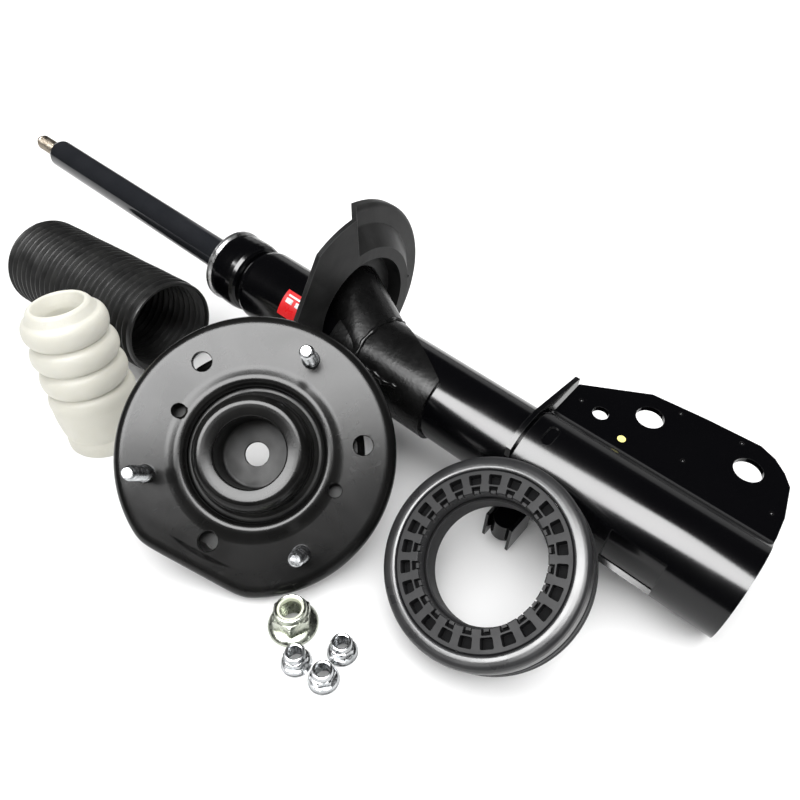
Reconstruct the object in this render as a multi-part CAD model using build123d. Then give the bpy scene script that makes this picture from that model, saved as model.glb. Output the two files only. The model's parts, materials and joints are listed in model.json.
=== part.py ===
from build123d import *
import math
import os

# A front strut service kit laid out on a flat floor: the twin-tube strut itself, its upper
# mount, the spring-seat bearing, the dust boot, the bump stop and four flange nuts.
# Millimetres, +Z up, floor at z = 0.  X runs along the strut, from the rod tip (-X) to the
# knuckle bracket (+X).

# ---- strut: every height below is measured along its axis from the knuckle-bracket end ----
TUBE_R = 24.6
TUBE_WALL = 1.8
TUBE_BOTTOM, TUBE_TOP = 4.0, 350.6
PRESSURE_R, PRESSURE_WALL = 17.5, 1.5
PRESSURE_BOTTOM, PRESSURE_TOP = 16.0, 326.0
ROD_R, ROD_SPIGOT_R, ROD_TIP_R = 11.0, 5.5, 5.9
ROD_FOOT, ROD_SHOULDER, ROD_END = 274.0, 600.0, 629.0
PISTON_BOTTOM, PISTON_TOP = 284.0, 300.0
PISTON_TRAVEL = 170.0
RUNNING_FIT = 0.05

SHELL_R, SHELL_BORE, SHELL_BOTTOM, SHELL_TOP = 27.5, 24.65, 3.2, 128.0
EAR_OUTER, EAR_INNER = 19.0, 16.0
EAR_OUTLINE = [(15.0, 3.2), (24.0, 3.2), (38.0, 4.4), (58.0, 9.2), (65.0, 14.6), (71.0, 22.0),
               (74.4, 31.0), (72.4, 62.0), (69.0, 92.4), (47.2, 128.5), (15.0, 129.0)]
KNUCKLE_HOLE_R = 7.75
KNUCKLE_HOLES = [(54.2, 29.9), (52.2, 85.5)]
POSITION_HOLE_R, POSITION_HOLE = 4.6, (36.4, 107.6)
DIMPLES = [(37.5, 120.6), (66.4, 74.0), (36.7, 58.5), (69.2, 39.7), (36.2, 10.6)]
WINDOW_BOTTOM, WINDOW_TOP, WINDOW_HALF_ANGLE = 36.5, 66.0, 34.0

SEAT_CENTRE = (15.0, -12.6)
SEAT_FLOOR, SEAT_LEDGE, SEAT_LIP_TOP, SEAT_CROWN, SEAT_SHEET = 267.4, 278.0, 285.2, 277.0, 3.0
SEAT_MOUTH_R, SEAT_FOOT_R, SEAT_SHOULDER_R, SEAT_RIM_R, SEAT_FLAT_R = 37.0, 44.0, 55.0, 67.4, 70.0
SEAT_STEP, SEAT_RAMP = (-93.0, 45.0), (143.0, 58.0)
SEAT_CUT_ANGLE, SEAT_CUT_DISTANCE = -148.0, 55.0
SLEEVE_R, SLEEVE_BOTTOM, SLEEVE_MIDDLE, SLEEVE_TOP, SLEEVE_SLANT = 26.6, 186.6, 202.6, 263.0, 1.75
NECK_CENTRE, NECK_BOTTOM, NECK_TOP = (16.5, -15.5), 240.0, 276.7
HOSE_LEVEL, HOSE_HALF_WIDTH, HOSE_REACH, HOSE_CUP_R = 117.2, 8.6, 40.0, 7.2

# ---- upper mount: heights from the flat face of the plate, + towards the studs ----
PLATE_R, PLATE_RIM_R, PLATE_SHEET, PLATE_SKIRT = 70.5, 75.2, 2.6, 8.0
PLATE_FLAT_ANGLE, PLATE_FLAT_DISTANCE = -120.0, 69.0
STUD_R, STUD_LENGTH = 4.0, 27.0
STUDS = [(58.0, 58.0), (57.5, 188.5), (58.0, 294.0)]
LOCATING_HOLES = [(57.0, 118.7), (57.5, 2.4), (51.0, -118.8)]
LOCATING_HOLE_R = 5.2
DRAIN_HOLES = [(46.6, 148.7), (46.8, -26.5)]
DRAIN_HOLE_R = 3.7
ROD_HOLE_R = 6.5
DOME_TOP, CUP_FLOOR = 15.5, -8.0
BOSS_DEPTH, SHELL_DEPTH = 48.6, 22.0

# ---- spring-seat bearing: heights from its front face ----
BEARING_R, BEARING_DEPTH = 52.4, 20.0
BEARING_BORE_R, BEARING_LIP_R = 32.4, 30.8
BALL_R, BALL_CIRCLE_R, BALL_COUNT = 2.0, 46.0, 40
POCKETS = 24

# ---- boot, bump stop and nuts ----
BOOT_R, BOOT_VALLEY_R, BOOT_WALL, BOOT_LENGTH, BOOT_RIBS = 34.6, 31.4, 1.4, 151.0, 24
STOP_LENGTH, STOP_BORE_R = 97.0, 11.6
BIG_NUT = dict(flats=18.0, flange_r=13.0, bore_r=5.95, height=15.5, flange=2.4, collar_r=8.2)
SMALL_NUT = dict(flats=11.0, flange_r=7.8, bore_r=3.95, height=10.5, flange=1.8, collar_r=5.1)

# ---- where each piece rests on the floor, before the whole set is centred ----
STRUT_FOOT, STRUT_RISE, EAR_LIFT = (5.2, 253.1, 27.2), 5.48, 4.1
MOUNT_CENTRE, MOUNT_NORMAL = (-224.4, 144.2, 56.3), (0.451, -0.481, 0.748)
BEARING_CENTRE, BEARING_NORMAL = (-99.7, 175.8, 44.2), (-0.074, -0.523, 0.849)
BOOT_MOUTH, BOOT_AXIS = (-377.9, 196.9, 34.8), (-1.0, -0.06, 0.0)
STOP_FOOT, STOP_AXIS = (-360.4, 126.0, 0.0), (-0.103, 0.02, 1.0)
BIG_NUT_SPOT = (-164.2, 108.2)
SMALL_NUT_SPOTS = [(-134.5, 113.5), (-147.8, 95.0), (-131.5, 97.5)]


# ------------------------------------------------------------------ small helpers
def turned(corners):
    """Solid of revolution about Z through (radius, height) corners."""
    return revolve(Plane.XZ * make_face(Polyline(*corners, close=True)), Axis.Z)


def washer(outer, inner, low, high):
    """Flat ring between two radii and two heights."""
    return turned([(inner, low), (outer, low), (outer, high), (inner, high)])


def drill(radius, low, high, x=0.0, y=0.0):
    """Round cutter along Z."""
    return Pos(x, y, (low + high) / 2) * Cylinder(radius, high - low)


def polar(radius, degrees):
    """Point in the XY plane at a radius and an angle."""
    angle = math.radians(degrees)
    return radius * math.cos(angle), radius * math.sin(angle)


def beyond_chord(degrees, distance, low, high, size=200.0):
    """Block lying outside a chord at a distance from Z, facing the given direction."""
    x, y = polar(distance + size / 2, degrees)
    return Pos(x, y, (low + high) / 2) * Rot(0, 0, degrees) * Box(size, size, high - low)


def sector(radius, start, sweep, low, high):
    """Pie slice about Z, used to limit shells to part of a turn."""
    count = max(2, int(abs(sweep) / 20) + 1)
    rim = [polar(radius, start + sweep * i / count) for i in range(count + 1)]
    face = make_face(Polyline((0, 0), *rim, close=True))
    return Pos(0, 0, low) * extrude(face, high - low)


# ------------------------------------------------------------------ strut: fixed housing
def outer_tube():
    """Reserve tube with its top rolled in over the rod guide."""
    r, inner = TUBE_R, TUBE_R - TUBE_WALL
    return turned([(inner, TUBE_BOTTOM), (r, TUBE_BOTTOM), (r, 341.5), (r - 0.3, 343.6),
                   (r - 1.1, 346.0), (r - 2.4, 348.3), (r - 4.2, 350.0), (r - 5.6, TUBE_TOP),
                   (17.0, TUBE_TOP), (17.0, TUBE_TOP - 1.7), (20.35, TUBE_TOP - 1.7), (21.6, 346.2),
                   (inner, 343.1)])


def base_cap():
    """Pressed cup that closes the foot of the reserve tube."""
    r = TUBE_R - TUBE_WALL - 0.02
    return turned([(0, 6.5), (14, 6.5), (r - 2.5, 4.2), (r, 4.2), (r, 10.0), (r - 2.0, 10.0),
                   (r - 2.6, 8.5), (14, 9.0), (0, 9.0)])


def pressure_tube():
    """Working cylinder the piston runs in."""
    return washer(PRESSURE_R, PRESSURE_R - PRESSURE_WALL, PRESSURE_BOTTOM, PRESSURE_TOP)


def base_valve():
    """Foot valve plugged into the working cylinder, with its ring of flow holes."""
    plug = turned([(0, 10.2), (17.4, 10.2), (17.4, 15.95), (15.9, 15.95), (15.9, 22), (0, 22)])
    holes = [drill(1.3, 9, 23, *polar(10.5, 45 * i)) for i in range(8)]
    return plug - holes - drill(2.2, 9, 23)


def rod_guide():
    """Sintered guide centred in both tubes."""
    bore = ROD_R + RUNNING_FIT
    outer = TUBE_R - TUBE_WALL - 0.05
    return turned([(bore, 319), (15.95, 319), (15.95, 326.1), (outer, 326.1), (outer, 343),
                   (bore, 343)])


def oil_seal():
    """Rubber seal above the guide."""
    return turned([(ROD_R + 0.03, 343.05), (20.3, 343.05), (20.3, 348.6), (13.5, 348.6),
                   (11.6, 347.4), (ROD_R + 0.03, 346)])


def top_cap():
    """Dark pressed cap over the tube end, open for the rod."""
    return turned([(20.4, 350.9), (22.0, 351.4), (23.4, 352.8), (24.3, 355.2), (24.8, 358.6),
                   (24.9, 364.0), (24.7, 370.0), (24.2, 373.5), (22.6, 373.5), (22.6, 376.4),
                   (12.2, 376.4), (12.2, 374.2), (21.6, 374.2), (22.7, 371.0), (22.8, 358.6),
                   (21.8, 354.8), (20.4, 353.2), (19.0, 352.8), (19.0, 350.9)])


def top_cap_rim():
    """Bright rolled rim around the front of the cap."""
    return turned([(22.65, 373.55), (24.2, 373.55), (25.3, 375.0), (25.3, 377.2), (24.3, 378.2),
                   (22.65, 377.8)])


def seat_bowl():
    """Full turn of the raised spring ledge, with a rounded bend up into its upright lip."""
    floor, ledge, rim, sheet = SEAT_FLOOR, SEAT_LEDGE, SEAT_RIM_R, SEAT_SHEET
    section = make_face(Polyline(
        (SEAT_MOUTH_R, floor), (SEAT_FOOT_R, floor), (SEAT_SHOULDER_R, ledge), (rim, ledge + 0.6),
        (rim, SEAT_LIP_TOP), (rim - sheet, SEAT_LIP_TOP), (rim - sheet, ledge + sheet + 0.6),
        (SEAT_SHOULDER_R - 1.2, ledge + sheet), (SEAT_FOOT_R - 1.2, floor + sheet),
        (SEAT_MOUTH_R, floor + sheet), close=True))
    section = fillet(section.vertices().filter_by(lambda v: v.X > rim - 0.1 and v.Y < ledge + 1), 3)
    section = fillet(section.vertices().filter_by(lambda v: abs(v.X - SEAT_SHOULDER_R) < 2), 1.5)
    return revolve(Plane.XZ * section, Axis.Z)


def seat_crown():
    """Raised middle of the seat: a short wall round the mouth, closed by a flat plate."""
    mouth, floor, crown, sheet = SEAT_MOUTH_R, SEAT_FLOOR, SEAT_CROWN, SEAT_SHEET
    return turned([(mouth + 1.5, floor), (mouth, floor), (mouth - 2, crown), (0, crown),
                   (0, crown + sheet), (mouth + 0.6, crown + sheet), (mouth + 2.6, floor + sheet)])


def beside(degrees, lean, side, inset=0.0):
    """Half space on one side (+1 or -1 round the turn) of a plane leaning over a seat radius."""
    block = Pos(0, side * (150 + inset), 0) * Box(300, 300, 300)
    return Pos(0, 0, SEAT_FLOOR) * Rot(0, 0, degrees) * Rot(side * lean, 0, 0) * block


def seat_low_side(inset=0.0):
    """Room taken by the low side of the seat, between the steep step and the gentle ramp."""
    (step, step_lean), (ramp, ramp_lean) = SEAT_STEP, SEAT_RAMP
    return beside(step, step_lean, -1, inset) & beside(ramp, ramp_lean, 1, inset)


def spring_seat():
    """Lower spring seat: raised ledge, low flat side with a step, and a crowned middle."""
    low_side = seat_low_side()
    bowl = seat_bowl()
    under_bowl = turned(
        [(SEAT_MOUTH_R, SEAT_FLOOR), (SEAT_RIM_R, SEAT_FLOOR), (SEAT_RIM_R, SEAT_LIP_TOP),
         (SEAT_RIM_R - SEAT_SHEET, SEAT_LIP_TOP), (SEAT_RIM_R - SEAT_SHEET, SEAT_LEDGE + SEAT_SHEET),
         (SEAT_SHOULDER_R - 1.2, SEAT_LEDGE + SEAT_SHEET),
         (SEAT_FOOT_R - 1.2, SEAT_FLOOR + SEAT_SHEET), (SEAT_MOUTH_R, SEAT_FLOOR + SEAT_SHEET)])
    walls = (low_side - seat_low_side(SEAT_SHEET)) & under_bowl
    flat = washer(SEAT_FLAT_R, SEAT_MOUTH_R, SEAT_FLOOR, SEAT_FLOOR + SEAT_SHEET) & low_side
    seat = Pos(*SEAT_CENTRE, 0) * (seat_crown() + (bowl - low_side) + walls + flat)
    trim = beyond_chord(SEAT_CUT_ANGLE, SEAT_CUT_DISTANCE, 260, 300)
    drain = Pos(72.0, -1.0, SEAT_LEDGE) * Cylinder(1.5, 12)
    return seat - trim - drill(TUBE_R + 0.05, 250, 300) - drain


def seat_gusset():
    """Sleeve on the tube ending in a slanting tongue, with a leaning neck up to the seat."""
    slope = math.degrees(math.atan(SLEEVE_SLANT))
    sleeve = washer(SLEEVE_R, TUBE_R + 0.05, SLEEVE_BOTTOM, SLEEVE_TOP)
    sleeve -= Pos(0, 0, SLEEVE_MIDDLE) * Rot(0, -slope, 0) * Pos(0, 0, -100) * Box(300, 300, 200)
    neck = leaning_neck(27.2, 24.0) - leaning_neck(24.6, 21.4)
    return sleeve + neck - drill(TUBE_R + 0.05, 180, 280)


def leaning_neck(low_r, high_r):
    """Solid from a circle round the tube to a smaller circle under the crown of the seat."""
    low = Pos(0, 0, NECK_BOTTOM) * Circle(low_r)
    high = Pos(*NECK_CENTRE, NECK_TOP) * Circle(high_r)
    return loft([low.face(), high.face()], ruled=True)


def shell_section():
    """Cross-section of the knuckle bracket: a wrap round the tube opening into two ears."""
    blank = Circle(SHELL_R) + Pos(40, 0) * Rectangle(76, 2 * EAR_OUTER)
    corners = blank.vertices().filter_by(lambda v: 15 < v.X < 25)
    blank = fillet(corners, 6.0)
    return blank - Circle(SHELL_BORE) - Pos(50, 0) * Rectangle(100, 2 * EAR_INNER)


def knuckle_bracket():
    """Wrapped steel bracket that clamps the steering knuckle between its ears."""
    body = Pos(0, 0, SHELL_BOTTOM) * extrude(shell_section(), SHELL_TOP - SHELL_BOTTOM)
    outline = Plane.XZ * make_face(Polyline(*EAR_OUTLINE, close=True))
    body = body & (extrude(outline, 30, both=True) + Pos(-35, 0, 64) * Box(114, 80, 130))
    for x, z in KNUCKLE_HOLES:
        body -= Pos(x, 0, z) * Rot(90, 0, 0) * Cylinder(KNUCKLE_HOLE_R, 60)
    x, z = POSITION_HOLE
    body -= Pos(x, 0, z) * Rot(90, 0, 0) * Cylinder(POSITION_HOLE_R, 60)
    window = sector(60, 180 - WINDOW_HALF_ANGLE, 2 * WINDOW_HALF_ANGLE, WINDOW_BOTTOM, WINDOW_TOP)
    slot = Rot(0, 90, 0) * extrude(SlotOverall(13.0, 6.0, rotation=90), 5)
    slot = Rot(0, 0, -95) * Pos(26, 0, 117.3) * slot
    for x, z in DIMPLES:
        body -= Pos(x, -EAR_OUTER, z) * Sphere(1.1)
    return body - window - slot


def bracket_flange():
    """Plate welded across the upper end of the bracket, tapering from the ears to the wrap."""
    half = EAR_OUTER + 0.5
    face = make_face(Polyline((51.0, half), (5.0, 29.4), (-20.0, 29.4), (-20.0, -29.4),
                              (5.0, -29.4), (51.0, -half), close=True))
    face = face & (Circle(29.4) + Pos(55, 0) * Rectangle(110, 80))
    return Pos(0, 0, SHELL_TOP + 1.6) * extrude(face - Circle(TUBE_R + 0.05), 3.0)


def hose_bracket():
    """Small pressed saddle on the bracket that carries the brake hose."""
    half, top, bottom = HOSE_HALF_WIDTH, 13.0, 33.0
    cheeks = Pos(-30, (top + bottom) / 2, 0) * Box(2 * (HOSE_REACH - 30), bottom - top, 2 * half)
    cheeks -= Pos(-30, (top + bottom) / 2, 0) * Box(60, bottom, 2 * half - 3.4)
    cup_face = Circle(HOSE_CUP_R) + Pos(8, 0) * Rectangle(16, 2 * HOSE_CUP_R)
    cup = extrude(cup_face - offset(cup_face, -1.8), 13.0) + extrude(cup_face, 1.8)
    cup = Plane(origin=(-32.0, 17.0, 0), x_dir=(1, 0, 0), z_dir=(0, 1, 0)) * cup
    return Pos(0, 0, HOSE_LEVEL) * (cheeks + cup) - drill(SHELL_R + 0.05, 90, 130)


def label():
    """Plain sticker on the tube."""
    return washer(TUBE_R + 0.2, TUBE_R + 0.02, 288.5, 308.3) & sector(60, -153, 40, 280, 315)


def paint_mark():
    """Inspection dot on the outer face of one ear."""
    return Pos(27.9, -EAR_OUTER - 0.1, 89.9) * Rot(90, 0, 0) * Cylinder(2.3, 0.16)


# ------------------------------------------------------------------ strut: moving pieces
def piston_rod():
    """Rod with the spigot that carries the piston and the stepped threaded tip."""
    return turned([(0, ROD_FOOT), (ROD_SPIGOT_R, ROD_FOOT), (ROD_SPIGOT_R, 302.0), (ROD_R, 302.0),
                   (ROD_R, ROD_SHOULDER - 3.0), (ROD_R - 1.0, ROD_SHOULDER - 0.8),
                   (ROD_R - 3.0, ROD_SHOULDER), (0, ROD_SHOULDER)])


def rod_tip():
    """Threaded end of the rod with two flats for a spanner."""
    tip = turned([(0, ROD_SHOULDER), (ROD_TIP_R, ROD_SHOULDER), (ROD_TIP_R, ROD_END - 7.0),
                  (ROD_TIP_R - 1.2, ROD_END - 6.0), (ROD_TIP_R - 1.2, ROD_END - 0.6),
                  (ROD_TIP_R - 1.8, ROD_END), (0, ROD_END)])
    flat = Pos(0, 8.6, ROD_END - 3.0) * Box(20, 10, 6.2)
    return tip - flat - Rot(0, 0, 180) * flat


def piston():
    """Piston with a groove for its band and rings of flow holes."""
    r = PRESSURE_R - PRESSURE_WALL - 0.3
    body = turned([(ROD_SPIGOT_R, PISTON_BOTTOM), (r, PISTON_BOTTOM), (r, 288), (14.5, 288),
                   (14.5, 296), (r, 296), (r, PISTON_TOP), (ROD_SPIGOT_R, PISTON_TOP)])
    return body - [drill(1.2, 280, 305, *polar(10.5, 45 * i)) for i in range(8)]


def piston_band():
    """Low-friction band between piston and working cylinder."""
    outer = PRESSURE_R - PRESSURE_WALL - RUNNING_FIT
    return washer(outer, 14.5 + RUNNING_FIT, 288 + RUNNING_FIT, 296 - RUNNING_FIT)


def valve_shims():
    """Stacks of spring-steel discs on both faces of the piston."""
    top = washer(9.0, ROD_SPIGOT_R, PISTON_TOP, 301.0) + washer(7.6, ROD_SPIGOT_R, 301.0, 302.0)
    low = washer(9.0, ROD_SPIGOT_R, 283.0, PISTON_BOTTOM) + washer(7.6, ROD_SPIGOT_R, 282.0, 283.0)
    return Compound(children=[top, low])


def piston_nut():
    """Nut that clamps the piston stack on the spigot."""
    return extrude(Pos(0, 0, 275.5) * (RegularPolygon(9.0, 6) - Circle(ROD_SPIGOT_R)), 6.5)


def rebound_stop():
    """Nylon collar that meets the rod guide at full extension."""
    return washer(14.6, ROD_R, 306.0, 318.8)


# ------------------------------------------------------------------ upper mount
def plate_holes(low, high):
    """Every round opening through the flat of the mount plate."""
    holes = [drill(STUD_R, low, high, *polar(*spot)) for spot in STUDS]
    holes += [drill(LOCATING_HOLE_R, low, high, *polar(*spot)) for spot in LOCATING_HOLES]
    return holes + [drill(DRAIN_HOLE_R, low, high, *polar(*spot)) for spot in DRAIN_HOLES]


def mount_plate():
    """Pressed plate: flat face, raised bead round the centre and a turned-down rim."""
    t = PLATE_SHEET
    plate = turned([(35.6, -8.0), (38.2, -8.0), (38.4, -1.0), (39.6, -t + 2.0), (42.6, -t), (69.5, -t),
                    (72.0, -4.4), (72.6, -PLATE_SKIRT), (PLATE_RIM_R, -PLATE_SKIRT),
                    (PLATE_RIM_R, -4.2), (73.6, -1.4), (PLATE_R, 0), (42.4, 0), (40.6, 1.2),
                    (38.4, 2.0), (36.6, 1.0), (35.6, -1.6)])
    plate -= beyond_chord(PLATE_FLAT_ANGLE, PLATE_FLAT_DISTANCE, -20, 20)
    return plate - plate_holes(-20, 20) + plate_flat()


def plate_flat():
    """Turned-down edge along the flat of the plate."""
    half = math.sqrt(PLATE_RIM_R ** 2 - PLATE_FLAT_DISTANCE ** 2)
    strip = Pos(PLATE_FLAT_DISTANCE - 1.3, 0, -PLATE_SKIRT / 2) * Box(2.6, 2 * half - 2.0, PLATE_SKIRT)
    edge = strip.edges().filter_by(Axis.Y).sort_by(Axis.Z)[-2:].sort_by(Axis.X)[-1]
    return Rot(0, 0, PLATE_FLAT_ANGLE) * fillet(edge, 2.0)


def mount_dome():
    """Inner steel cup: a rounded ridge round a deep recess with the rod hole in its floor."""
    return turned([(31.2, -9.0), (31.4, 4.0), (30.6, 10.2), (28.2, 14.3), (25.0, DOME_TOP),
                   (21.0, DOME_TOP - 0.7), (19.0, DOME_TOP - 1.3), (18.6, DOME_TOP - 2.0), (18.6, CUP_FLOOR),
                   (ROD_HOLE_R, CUP_FLOOR), (ROD_HOLE_R, CUP_FLOOR - 2.6), (21.2, CUP_FLOOR - 2.6),
                   (21.2, 12.8), (25.0, 12.4), (27.4, 10.8), (28.6, 7.8), (28.8, -9.0)])


def mount_rubber():
    """Rubber bonded between the plate and the inner cup."""
    return turned([(31.45, -8.6), (35.55, -8.6), (35.55, -3.2), (34.2, -1.6), (33.0, -2.6),
                   (31.9, 0.2), (31.45, 0.2)])


def mount_isolator():
    """Rubber pad behind the plate."""
    return turned([(22.0, -9.05), (22.0, -11.0), (17.0, -13.0), (17.0, -24.0), (31.5, -24.0),
                   (54.0, -19.0), (54.0, -9.05)])


def mount_neck():
    """Rubber neck between the pad and the boss ring."""
    return turned([(17.0, -24.05), (17.0, -44.0), (29.4, -44.0), (31.5, -24.05)])


def mount_shell():
    """Lower shell that the spring-seat bearing bears on."""
    shell = turned([(54.05, -9.0), (56.0, -8.1), (58.0, -9.5), (58.0, -SHELL_DEPTH),
                    (40.0, -SHELL_DEPTH - 2.2), (40.0, -SHELL_DEPTH - 0.2), (54.05, -19.1)])
    return shell - drill(LOCATING_HOLE_R + 1.5, -40, 0, *polar(*LOCATING_HOLES[2]))


def mount_boss():
    """Steel ring that ends the boss."""
    return washer(29.8, 17.0, -BOSS_DEPTH, -44.05)


def mount_studs():
    """Three pressed-in studs with a plain collar at the plate."""
    neck, point = STUD_R - 0.02, STUD_R - 0.8
    stud = turned([(0, -4.6), (5.6, -4.6), (5.6, -PLATE_SHEET), (neck, -PLATE_SHEET), (neck, 0.02),
                   (5.0, 0.02), (5.0, 2.0), (4.6, 3.0), (STUD_R, 3.4), (STUD_R, STUD_LENGTH - 5.0),
                   (point, STUD_LENGTH - 4.2), (point, STUD_LENGTH - 0.6), (point - 0.6, STUD_LENGTH),
                   (0, STUD_LENGTH)])
    first, *others = [Pos(*polar(*spot), 0) * stud for spot in STUDS]
    return first + others


# ------------------------------------------------------------------ spring-seat bearing
def bearing_case():
    """Front case with a ring of pockets and a ring of notches along its bore."""
    body = turned([(BEARING_BORE_R, -8.6), (BEARING_BORE_R, -0.6), (32.2, 0), (44.0, 0),
                   (44.3, -0.6), (44.7, -0.1), (46.0, 0.5), (48.0, 0.8), (50.0, 0.4), (51.3, -0.6),
                   (52.0, -2.2), (52.0, -8.6), (49.2, -8.6), (49.2, -6.2), (42.8, -6.2), (42.8, -8.6)])
    step = 360.0 / POCKETS
    for i in range(POCKETS):
        turn = Rot(0, 0, i * step)
        body -= turn * (washer(41.9, 36.5, -4.8, 2) & sector(60, -4.6, 9.2, -4.8, 2))
        body -= turn * (washer(35.6, 31.0, -3.6, 2) & sector(60, -3.6, 7.2, -3.6, 2))
    return body


def bearing_seal():
    """Thin lip seals in the seam between the two cases."""
    outer = turned([(49.6, -10.6), (51.4, -10.6), (51.4, -9.0), (50.9, -9.0), (50.6, -10.2),
                    (49.6, -10.2)])
    inner = turned([(33.0, -11.6), (36.0, -11.6), (36.0, -10.8), (33.0, -10.8)])
    return Compound(children=[outer, inner])


def bearing_base():
    """Rear case that sits on the mount."""
    return turned([(BEARING_LIP_R, -20), (BEARING_LIP_R, -9.4), (31.2, -9.0), (32.4, -9.4),
                   (32.4, -11.65), (42.8, -11.65), (42.8, -13.6), (49.2, -13.6), (49.2, -10.65),
                   (51.6, -10.65), (52.0, -11.2), (52.0, -15.2), (51.2, -15.6), (51.2, -16.4),
                   (52.0, -16.8), (52.0, -19.2), (51.2, -20)])


def bearing_race(low, high):
    """Thin steel race ring."""
    return washer(48.8, 43.2, low, high)


def bearing_balls():
    """Ring of balls between the races."""
    step = 360.0 / BALL_COUNT
    level = -12.2 + BALL_R + 0.02
    return Compound(children=[Pos(*polar(BALL_CIRCLE_R, i * step), level) * Sphere(BALL_R)
                              for i in range(BALL_COUNT)])


def bearing_cage():
    """Ring that spaces the balls."""
    ring = washer(48.7, 43.3, -10.8, -9.6)
    spots = [polar(BALL_CIRCLE_R, i * 360.0 / BALL_COUNT) for i in range(BALL_COUNT)]
    return ring - [drill(BALL_R + 0.08, -12, -8, *spot) for spot in spots]


# ------------------------------------------------------------------ boot, bump stop, nuts
def boot_profile(offset):
    """Zigzag (radius, height) line of the bellows, moved inwards by the wall."""
    pitch = (BOOT_LENGTH - 8.0) / BOOT_RIBS
    line = [(BOOT_R - 1.0 - offset, 0.0), (BOOT_R - 1.0 - offset, 5.0)]
    for i in range(BOOT_RIBS):
        low = 5.0 + i * pitch
        line += [(BOOT_VALLEY_R - offset, low + 0.25 * pitch), (BOOT_R - offset, low + 0.75 * pitch)]
    return line + [(BOOT_VALLEY_R - 1.0 - offset, BOOT_LENGTH)]


def dust_boot():
    """Rubber bellows, open at both ends, with an in-turned lip at the far end."""
    outer = boot_profile(0.0)
    inner = boot_profile(BOOT_WALL)
    lip = [(17.0, BOOT_LENGTH), (17.0, BOOT_LENGTH - 1.6), (inner[-1][0], BOOT_LENGTH - 1.6)]
    return turned(outer + lip + inner[:-1][::-1])


def bump_stop():
    """Foam stop: a plain lower barrel with a foot ring and four rounded lobes, bored for the rod."""
    lobes = [(33.5, 26.6), (50.0, 26.2), (66.5, 25.8), (83.0, 24.9)]
    line = []
    for level, radius in lobes:
        for part in (-0.95, -0.7, 0.0, 0.7, 0.95):
            line.append((radius - 6.6 * (1 - math.sqrt(1 - part * part)), level + part * 8.25))
    barrel = [(STOP_BORE_R, -8.0), (25.0, -8.0), (25.2, 5.0), (24.6, 7.4), (23.8, 8.6), (24.8, 9.8),
              (26.2, 24.6)]
    mouth = [(19.2, 94.0), (17.2, 96.3), (15.8, STOP_LENGTH), (14.9, 96.4), (13.6, 93.0),
             (STOP_BORE_R, 89.0)]
    return turned(barrel + line[2:] + mouth)


def floor_cut(piece):
    """Piece with everything at or below the floor taken away."""
    return piece - Pos(0, 0, -49.95) * Box(2000, 2000, 100)


def flange_nut(flats, flange_r, bore_r, height, flange, collar_r):
    """Hexagon nut with a wide flange below and a round collar above."""
    top = height - 2.6
    hexagon = extrude(RegularPolygon(flats / math.sqrt(3), 6), top)
    trim = turned([(0, 0), (flats, 0), (flats, top - 4.0), (flats / 2 - 0.6, top), (0, top)])
    skirt = turned([(0, 0), (flange_r, 0), (flange_r, 1.0), (flats / 2 + 0.4, flange + 0.8),
                    (0, flange + 0.8)])
    collar = drill(collar_r, height - 4.0, height)
    return (hexagon & trim) + skirt + collar - drill(bore_r, -1, height + 1)


def nut_insert():
    """Nylon locking ring inside the collar of the large nut."""
    return washer(BIG_NUT["bore_r"] + 0.95, BIG_NUT["bore_r"] - 0.35, 12.6, 15.0)


def rod_nut():
    """Large flange nut for the rod tip, grooved for its locking ring."""
    return flange_nut(**BIG_NUT) - drill(BIG_NUT["bore_r"] + 1.0, 12.55, 16.0)


# ------------------------------------------------------------------ layout
def strut_plane():
    """Frame of the strut: Z along the rod, X out along the ears."""
    rise, lift = math.radians(STRUT_RISE), math.radians(EAR_LIFT)
    x_dir = (math.sin(rise) * math.sin(lift), math.cos(lift), math.cos(rise) * math.sin(lift))
    return Plane(origin=STRUT_FOOT, x_dir=x_dir, z_dir=(-math.cos(rise), 0, math.sin(rise)))


def facing_plane(centre, normal):
    """Frame with Z along a normal and X level with the floor."""
    return Plane(origin=centre, x_dir=(-normal[1], normal[0], 0), z_dir=normal)


def boot_plane():
    """Frame of the boot: Z from the open mouth to the far end."""
    return Plane(origin=BOOT_MOUTH, x_dir=(0, 0, 1), z_dir=BOOT_AXIS)


def stop_plane():
    """Frame of the bump stop: Z up its bore."""
    return Plane(origin=STOP_FOOT, x_dir=(1, 0, -STOP_AXIS[0]), z_dir=STOP_AXIS)


def floor_plane(spot, turn=0.0):
    """Frame standing on the floor at a spot, turned about Z."""
    angle = math.radians(turn)
    x_dir = (math.cos(angle), math.sin(angle), 0)
    return Plane(origin=(spot[0], spot[1], 0.05), x_dir=x_dir, z_dir=(0, 0, 1))


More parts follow.
